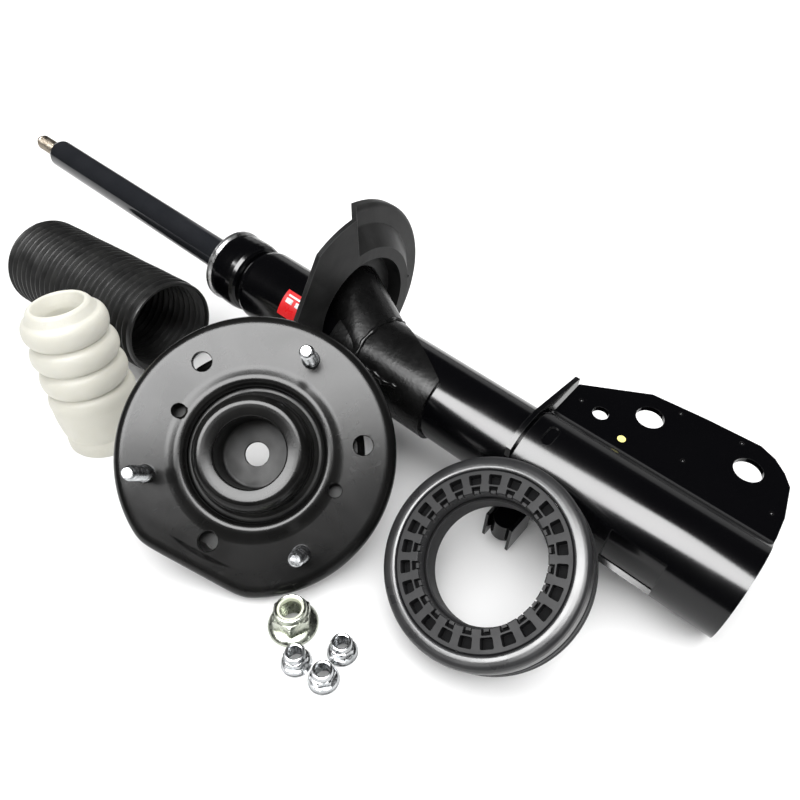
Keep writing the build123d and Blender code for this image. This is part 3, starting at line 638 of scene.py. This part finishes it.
def mount_dome(place, paint, shade_finish):
    """Inner cup: a full round ridge that rolls over into a deep recess; the recess's floor and wall get a
    matte black finish that is painted shade.
    """
    outside = [(31.2, -9.0), (31.4, 3.0), (31.2, 7.0), (30.6, 10.2), (29.6, 12.6), (28.2, 14.3)]
    ridge = [(26.6, 15.2), (25.0, 15.45), (23.0, 15.2), (21.0, 14.75), (19.3, 14.3), (18.75, 13.9)]
    recess = [(CUP_R, 13.3), (CUP_R, CUP_FLOOR + 1.6), (CUP_R - 0.5, CUP_FLOOR + 0.4),
              (CUP_R - 1.6, CUP_FLOOR), (ROD_HOLE_R + 0.3, CUP_FLOOR), (ROD_HOLE_R, CUP_FLOOR - 0.3)]
    back = [(ROD_HOLE_R, CUP_FLOOR - CUP_SHEET), (CUP_R + CUP_SHEET, CUP_FLOOR - CUP_SHEET),
            (CUP_R + CUP_SHEET, 12.0), (24.6, 12.4), (27.0, 10.8), (28.4, 7.8), (28.8, -9.0)]
    line = rounded(outside + ridge + recess + back, 0.5)
    dome = turned("dome", line, place, paint, 144)
    # floor and wall of the recess take the matte black that stands for its shade (painted shade)
    second_finish(dome, place, shade_finish, 0.0, CUP_R + 0.2, CUP_SHADE_TOP)
    return dome


def mount_rubber(place, material):
    """Rubber bonded in the gap, with a moulded lip line half way across."""
    line = [(31.45, -8.6), (36.1, -8.6), (36.1, -4.6), (35.0, -4.0), (33.4, -3.8), (32.9, -2.9),
            (32.4, -2.5), (31.9, -1.6), (31.45, -1.2)]
    return turned("bonded_rubber", rounded(line, 0.4), place, material, 144)


def stud(place, number, zinc):
    """One M8 stud: plain collar, thread and dog point."""
    x, y = polar(*STUDS[number])
    here = place @ Matrix.Translation((x, y, 0))
    low, high = 3.4, STUD_LENGTH - 5.0
    shank = STUD_R - 0.02
    point = STUD_R - 0.9
    line = [(0, -4.6), (5.5, -4.6), (5.5, -PLATE_SHEET), (shank, -PLATE_SHEET), (shank, 0.02),
            (STUD_COLLAR_R, 0.02), (STUD_COLLAR_R, 2.0), (STUD_COLLAR_R - 0.4, 3.0)]
    line += threaded_line(STUD_R, low, high, STUD_PITCH)
    line += [(point, high + 0.8), (point, STUD_LENGTH - 0.7), (point - 0.6, STUD_LENGTH), (0, STUD_LENGTH)]
    wound = thread_shape(low, high, STUD_PITCH, 0.6)
    return turned("stud_%d" % (number + 1), line, here, zinc, 36, wound)


def top_mount(frames, looks):
    """Visible pieces of the top mount."""
    place = frames["mount"]
    plate = mount_plate(place, looks["mount_paint"])
    dome = mount_dome(place, looks["mount_paint"], looks["painted_cup_shade"])
    bond = mount_rubber(place, looks["mount_rubber"])
    studs = [stud(place, number, looks["bright_zinc"]) for number in range(len(STUDS))]
    show(plate, "top_mount", "mount_paint", "mount_plate")
    show(dome, "top_mount", "mount_paint", "mount_dome")
    show(bond, "top_mount", "mount_rubber", "mount_rubber")
    for piece in studs:
        show(piece, "top_mount", "bright_zinc", "mount_studs")


# ------------------------------------------------------------------ bearing
def sector_ring(name, place, count, inner, outer, start, end, low, high, ease=0.0):
    """One cutter object: equal blocks round the axis, each between two radii and two angles."""
    middle = (inner + outer) / 2
    corners = [(inner, start), (outer, start), (outer, end), (inner, end)]
    flat = [(radius, math.radians(turn) * middle) for radius, turn in corners]
    eased = rounded(flat, ease) if ease else flat
    outline = [(radius, along / middle) for radius, along in eased]
    size = len(outline)
    verts, faces = [], []
    for i in range(count):
        base = len(verts)
        turn = 2 * math.pi * i / count
        for level in (low, high):
            verts += [(r * math.cos(a + turn), r * math.sin(a + turn), level) for r, a in outline]
        faces.append(tuple(base + k for k in range(size)))
        faces.append(tuple(base + size + k for k in range(size)))
        faces += [(base + k, base + (k + 1) % size, base + size + (k + 1) % size, base + size + k)
                  for k in range(size)]
    return object_from(name, verts, faces, place, None)


def bearing_case(place, material, deep):
    """Front of the case: pockets darkened by a matte painted shade, and notches with a small tab across each.
    """
    line = [(BORE_R, CASE_FOOT), (BORE_R, -0.5), (BORE_R + 0.4, 0.0), (CASE_R - 0.3, 0.0), (CASE_R, -0.8),
            (CASE_R, BAND_STEP), (CASE_R - 1.3, BAND_STEP), (CASE_R - 1.3, CASE_FOOT)]
    case = turned("bearing_front", rounded(line, 0.35), place, material, 240)
    cut(case, [
        sector_ring("pocket", place, POCKETS, 36.5, 41.9, -4.7, 4.7, -6.0, 2.0, 0.9),
        sector_ring("notch_back", place, POCKETS, 33.8, 35.7, -3.8, 3.8, -4.2, 2.0, 0.4),
        sector_ring("notch_left", place, POCKETS, 30.0, 34.4, -3.6, -2.2, -4.0, 2.2),
        sector_ring("notch_right", place, POCKETS, 30.0, 34.4, 2.2, 3.6, -4.0, 2.2),
        sector_ring("tab_top", place, POCKETS, 29.8, 34.1, -2.5, 2.5, -1.1, 2.4),
    ])
    # pocket floors and walls get the matte finish that stands for their shade (painted shade)
    second_finish(case, place, deep, 33.7, 42.2, POCKET_SHADE_TOP)
    return case


def bearing_band(place, material):
    """Crowned band round the front of the case, with its skirt."""
    inside = CASE_R + 0.1
    line = [(inside, BAND_STEP), (inside, -0.4), (44.6, 0.5), (45.6, 0.8), (47.2, 0.7), (49.0, 0.3),
            (50.5, -0.3), (51.5, -1.2), (52.0, -2.6), (52.0, CASE_FOOT), (49.2, CASE_FOOT),
            (49.2, BAND_STEP)]
    return turned("bearing_band", rounded(line, 0.35), place, material, 240)


def bearing(frames, looks):
    """Visible front of the spring-seat bearing."""
    case = bearing_case(frames["bearing"], looks["bearing_plastic"], looks["painted_pocket_shade"])
    band = bearing_band(frames["bearing"], looks["band_skin"])
    show(case, "bearing_upper", "bearing_plastic", "bearing_case")
    show(band, "bearing_upper", "bearing_plastic", "bearing_case")


# ------------------------------------------------------------------ boot and bump stop
def boot_line(inset):
    """Rounded bellows line, moved inwards by the wall."""
    pitch = (BOOT_LENGTH - 8.0) / BOOT_RIBS
    middle = (BOOT_R + BOOT_VALLEY_R) / 2
    half = (BOOT_R - BOOT_VALLEY_R) / 2
    mouth = BOOT_R - 0.6 - inset
    neck = BOOT_VALLEY_R - 0.6 - inset
    line = [(mouth - 0.4, 0.0), (mouth, 1.2), (mouth, 3.6)]
    for i in range(BOOT_RIBS):
        for k in range(8):
            turn = (k + 0.5) / 8
            wave = -math.cos(2 * math.pi * turn)
            wave = math.copysign(abs(wave) ** 0.75, wave)
            line.append((middle + half * wave - inset, 5.0 + (i + turn) * pitch))
    return line + [(neck, BOOT_LENGTH - 0.6), (neck - 1.0, BOOT_LENGTH)]


def boot_shape(angle, r, z):
    """Slight unevenness of a moulded bellows, with its parting line."""
    sway = 0.25 * noise.noise(Vector((math.cos(angle) * 1.3, math.sin(angle) * 1.3, z * 0.05)))
    seam = 0.22 * max(0.0, 1 - abs(math.sin(angle)) * 60)
    return r + sway + seam - 0.3, z


def dust_boot(frames, looks):
    """Rubber bellows with open mouth and an in-turned lip at the far end."""
    outer, inner = boot_line(0.0), boot_line(BOOT_WALL)
    lip_back = BOOT_LENGTH - BOOT_LIP_WALL
    lip = [(BOOT_LIP_R, BOOT_LENGTH), (BOOT_LIP_R, lip_back), (inner[-1][0], lip_back)]
    line = outer + lip + inner[:-1][::-1]
    boot = turned("boot_bellows", line, frames["boot"], looks["boot_rubber"], 144, boot_shape)
    show(boot, "boot", "boot_rubber", "dust_boot")


def stop_line():
    """Foot ring, plain barrel and four soft lobes."""
    line = [(STOP_BORE_R, -8.0), (24.8, -8.0), (25.0, 3.0), (24.9, 5.6), (24.4, 7.2), (23.9, 8.4),
            (24.2, 9.6), (25.0, 11.6), (25.7, 17.0), (26.1, 22.0), (26.2, 24.2)]
    for number, (level, radius) in enumerate(STOP_LOBES):
        for k in range(-6, 7):
            part = k / 6.25
            if number == 0 and part < -0.4:
                continue
            dip = 6.0 * (1 - math.sqrt(1 - part * part)) ** 1.05
            line.append((radius - dip, level + part * LOBE_REACH))
    crown = [(18.2, 1.6), (16.8, 0.3), (15.8, 0.0), (14.8, 0.6), (13.6, 3.2), (12.4, 6.0), (STOP_BORE_R, 9.0)]
    return line + [(radius, STOP_LENGTH - drop) for radius, drop in crown]


def stop_shape(angle, r, z):
    """Slight unevenness of cast foam."""
    spot = Vector((math.cos(angle) * 1.1, math.sin(angle) * 1.1, z * 0.06))
    return r + 0.3 * noise.noise(spot) - 0.1, z


def cut_flat(mesh, level):
    """Cut a tubular mesh off flat at a level and close the cut with a ring."""
    work = bmesh.new()
    work.from_mesh(mesh)
    plane = bmesh.ops.bisect_plane(work, geom=work.verts[:] + work.edges[:] + work.faces[:],
                                   plane_co=(0, 0, level), plane_no=(0, 0, -1), clear_outer=True)
    rims = [item for item in plane["geom_cut"] if isinstance(item, bmesh.types.BMEdge)]
    bmesh.ops.bridge_loops(work, edges=rims)
    bmesh.ops.recalc_face_normals(work, faces=work.faces)
    work.to_mesh(mesh)
    work.free()
    mesh.set_sharp_from_angle(angle=SHARP_ANGLE)


def bump_stop(frames, looks):
    """Foam bump stop, flat where it stands on the floor."""
    line = rounded(stop_line(), 0.6, 2)
    stop = turned("stop_foam_body", line, frames["stop"], looks["stop_foam"], 144, stop_shape)
    cut_flat(stop.data, 0.2 * MM)
    show(stop, "stop", "stop_foam", "bump_stop")


# ------------------------------------------------------------------ nuts
def nut_line(size):
    """Outline of a flange nut as (kind, r, z): round, hexagonal or threaded stretches."""
    corner, flange_r, flange = size["corner"], size["flange_r"], size["flange"]
    collar_r, bore_r, height, hex_top = size["collar_r"], size["bore_r"], size["height"], size["hex_top"]
    skirt = [(flange_r - 0.5, 0.0), (flange_r, 0.4), (flange_r, flange * 0.6),
             (flange_r - 0.4, flange * 0.85), (corner + 0.5, flange + 1.1)]
    collar = [(collar_r + 0.25, hex_top + 0.1), (collar_r, hex_top + 0.5), (collar_r, height - 0.8),
              (collar_r - 0.3, height - 0.2), (collar_r - 0.9, height), (collar_r - 1.5, height - 0.3),
              (collar_r - 1.7, height - 1.0), (bore_r + 0.5, height - 1.4), (bore_r, height - 2.0)]
    hex_foot = flange + 1.3
    line = [("round", r, z) for r, z in skirt]
    line += [("hex", corner, hex_foot + (hex_top - hex_foot) * k / 10) for k in range(11)]
    line += [("round", r, z) for r, z in collar]
    line += [("thread", r, z) for r, z in threaded_line(bore_r, 1.0, height - 2.2, size["pitch"])[::-1]]
    return line + [("round", bore_r + 0.8, 0.0)]


def nut_radius(size, kind, r, z, angle):
    """Radius at an angle: flats with chamfered corners, or a V thread inside."""
    if kind == "hex":
        inside = (angle % (math.pi / 3)) - math.pi / 6
        half = size["flats"] / 2
        cone = half + 0.15 + (size["hex_top"] - z) * 1.1
        return min(half / math.cos(inside), cone, size["corner"] - 0.12)
    if kind == "thread":
        turn = (z / size["pitch"] - angle / (2 * math.pi)) % 1.0
        return r + 0.45 * abs(turn * 2 - 1)
    return r


def nut(name, place, material, **size):
    """Hexagon flange nut with a collar and a thread inside; sizes in millimetres."""
    size["corner"] = size["flats"] / 2 / math.cos(math.pi / 6)
    size["hex_top"] = size["height"] - 3.0
    rows = []
    for i in range(NUT_SEGMENTS):
        angle = 2 * math.pi * i / NUT_SEGMENTS
        row = []
        for kind, r, z in nut_line(size):
            radius = nut_radius(size, kind, r, z, angle)
            row.append((radius * math.cos(angle), radius * math.sin(angle), z))
        rows.append(row)
    verts = [v for row in rows for v in row]
    return object_from(name, verts, ring_grid(rows), place, material)


def nuts(frames, looks):
    """The large rod nut and the three small stud nuts."""
    large = nut("large_flange_nut", frames["large_nut"], looks["yellow_zinc"], flats=18.0, flange_r=12.9,
                bore_r=5.95, height=15.5, flange=2.4, collar_r=8.2, pitch=1.25)
    show(large, "large_nut", "bright_zinc", "rod_nut")
    for number in (1, 2, 3):
        key = "small_nut_%d" % number
        small = nut("small_flange_nut_%d" % number, frames[key], looks["bright_zinc"], flats=11.0,
                    flange_r=7.7, bore_r=3.95, height=10.5, flange=1.8, collar_r=5.1, pitch=1.0)
        show(small, key, "bright_zinc", "stud_nut_%d" % number)


# ------------------------------------------------------------------ strut
def rod_tip(frames, looks):
    """Threaded M12 end of the rod with its plain neck and chamfers."""
    low, high = TIP_THREAD
    line = [(0, TIP_START), (TIP_R, TIP_START), (TIP_R, low)]
    line += threaded_line(TIP_R, low, high, TIP_PITCH)
    line += [(TIP_R - 0.5, high + 0.6), (TIP_R - 0.9, high + 1.3), (TIP_R - 1.5, TIP_END), (0, TIP_END)]
    wound = thread_shape(low, high, TIP_PITCH, 0.65)
    tip = turned("rod_thread", line, frames["strut"], looks["tip_steel"], 40, wound)
    show(tip, "rod", "rod_chrome", "rod_tip")


def label_bars(frames, looks):
    """Plain white bars on the label, in place of print."""
    for number, (low, height, turn, sweep) in enumerate(LABEL_BARS, start=1):
        verts = []
        for k in range(BAR_STEPS + 1):
            x, y = polar(TUBE_R + 0.24, turn + sweep * k / BAR_STEPS)
            verts += [(x, y, low), (x, y, low + height)]
        faces = [(2 * k, 2 * k + 2, 2 * k + 3, 2 * k + 1) for k in range(BAR_STEPS)]
        bar = object_from("label_bar_%d" % number, verts, faces, frames["strut"], looks["label_ink"])
        film = bar.modifiers.new("film", "SOLIDIFY")
        film.thickness, film.offset = 0.04 * MM, 0.0
        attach(bar, "strut_housing")


def bead(name, path, radius, place, material):
    """Lumpy weld bead along a path of points."""
    rows = []
    for i, here in enumerate(path):
        ahead = Vector(path[min(i + 1, len(path) - 1)]) - Vector(path[max(i - 1, 0)])
        side = ahead.cross(Vector((here[0], here[1], 0))).normalized()
        rise = side.cross(ahead).normalized()
        fade = math.sin(math.pi * (i + 0.5) / len(path)) ** 0.25
        row = []
        for k in range(BEAD_SIDES):
            turn = 2 * math.pi * k / BEAD_SIDES
            spot = Vector(here) + side * math.cos(turn) + rise * math.sin(turn)
            reach = radius * fade * (1 + 0.3 * math.sin(i * 1.7) + 0.55 * noise.noise(spot * 0.55))
            row.append(Vector(here) + (side * math.cos(turn) + rise * math.sin(turn) * 0.75) * reach)
        rows.append(row)
    verts = [v for row in rows for v in row]
    last = len(verts) - BEAD_SIDES
    faces = ring_grid(rows)[:last]
    faces += [tuple(range(BEAD_SIDES)), tuple(last + k for k in range(BEAD_SIDES))]
    return object_from(name, verts, faces, place, material, BEAD_SHARP_ANGLE)


def sleeve_welds(frames, looks):
    """Welds of the seat sleeve: a seam along it and a run round its lower edge."""
    seam = [(*polar(SEAM_WELD_R, SEAM_WELD_ANGLE + 1.5 * math.sin(level * 0.4)), level)
            for level in range(*SEAM_WELD_SPAN, 2)]
    hoop = [(*polar(HOOP_WELD_R, turn), HOOP_WELD_LEVEL + 0.6 * math.sin(turn * 0.2))
            for turn in range(*HOOP_WELD_ARC, 5)]
    for name, path, radius in (("seam_weld", seam, 2.0), ("hoop_weld", hoop, 1.4)):
        weld = bead(name, path, radius, frames["strut"], looks["weld_paint"])
        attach(weld, "strut_housing")


def dress_cad(frame, looks):
    """Give every CAD node the material of its slot, or its own finish of that paint."""
    finishes = {"spring_seat": "seat_paint", "seat_gusset": "weld_paint"}
    for part in frame["record"]["subparts"]:
        mesh = frame["nodes"][part["node"]].data
        mesh.materials.clear()
        mesh.materials.append(looks[finishes.get(part["node"], part["material_slot"])])


# ------------------------------------------------------------------ studio
def floor_sheet(scene):
    """Large pale floor at the height the set lies on."""
    mesh = bpy.data.meshes.new("floor")
    half = 6.0
    corners = [(-half, -half, 0), (half, -half, 0), (half, half, 0), (-half, half, 0)]
    mesh.from_pydata(corners, [], [(0, 1, 2, 3)])
    mesh.materials.append(floor_paper())
    floor = bpy.data.objects.new("floor", mesh)
    scene.collection.objects.link(floor)


def lamps(scene):
    """Washes that light surfaces without being mirrored, and the two cards that are mirrored."""
    wash = area_light("floor_wash", (-0.2, 0.3, 1.9), (-0.2, 0.3, 0.0), 3.4, 3.4, 98.0)
    wash.visible_glossy = False
    for name, spot in (("front_wash", (0.5, -1.7, 1.3)), ("side_wash", (1.9, 0.4, 1.3))):
        low_wash = area_light(name, spot, (0.1, -0.05, 0.0), 1.6, 1.0, 20.0)
        low_wash.visible_glossy = False
    key = area_light("key_card", (0.13, -0.52, 1.04), (0.05, 0.0, 0.03), 1.2, 0.62, 66.0, turn=32.0)
    key.visible_diffuse = False
    area_light("back_card", (-0.3, 2.0, 0.55), (0.0, 0.0, 0.05), 3.2, 0.8, 5.0)
    scene.world = bpy.data.worlds.new("studio")
    scene.world.use_nodes = True
    background = scene.world.node_tree.nodes["Background"]
    background.inputs["Color"].default_value = (0.03, 0.03, 0.031, 1)


def camera_in(scene):
    """The camera, at the photograph's angle."""
    camera = bpy.data.objects.new("camera", bpy.data.cameras.new("camera"))
    camera.data.lens, camera.data.sensor_width = CAMERA_LENS, 36.0
    camera.data.clip_start = 0.01
    camera.location = CAMERA_SPOT
    camera.rotation_euler = (math.radians(90 - CAMERA_DOWN), 0, math.radians(CAMERA_TURN))
    scene.collection.objects.link(camera)
    scene.camera = camera


def studio():
    """Floor, lamps and camera, in plain display colours."""
    scene = bpy.context.scene
    floor_sheet(scene)
    lamps(scene)
    scene.view_settings.view_transform = "Standard"
    camera_in(scene)


def area_light(name, spot, target, width, depth, watts, turn=0.0):
    """Rectangular lamp that faces a point, turned about its own axis."""
    lamp = bpy.data.lights.new(name, "AREA")
    lamp.shape, lamp.size, lamp.size_y, lamp.energy = "RECTANGLE", width, depth, watts
    obj = bpy.data.objects.new(name, lamp)
    obj.location = spot
    facing = (Vector(target) - Vector(spot)).to_track_quat("-Z", "Y").to_matrix().to_4x4()
    obj.rotation_euler = (facing @ Matrix.Rotation(math.radians(turn), 4, "Z")).to_euler()
    bpy.context.scene.collection.objects.link(obj)
    return obj


with open("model.json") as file:
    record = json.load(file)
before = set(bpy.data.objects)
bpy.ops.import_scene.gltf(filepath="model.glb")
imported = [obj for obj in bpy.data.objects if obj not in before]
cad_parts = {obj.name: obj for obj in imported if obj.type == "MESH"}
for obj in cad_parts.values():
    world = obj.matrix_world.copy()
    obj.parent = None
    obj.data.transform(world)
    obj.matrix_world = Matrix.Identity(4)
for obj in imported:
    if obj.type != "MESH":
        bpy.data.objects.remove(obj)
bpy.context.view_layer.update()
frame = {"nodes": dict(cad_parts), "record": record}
looks = all_materials()
frames = piece_frames(frame["record"])
dress_cad(frame, looks)
top_mount(frames, looks)
dust_boot(frames, looks)
bump_stop(frames, looks)
bearing(frames, looks)
nuts(frames, looks)
rod_tip(frames, looks)
label_bars(frames, looks)
sleeve_welds(frames, looks)
studio()
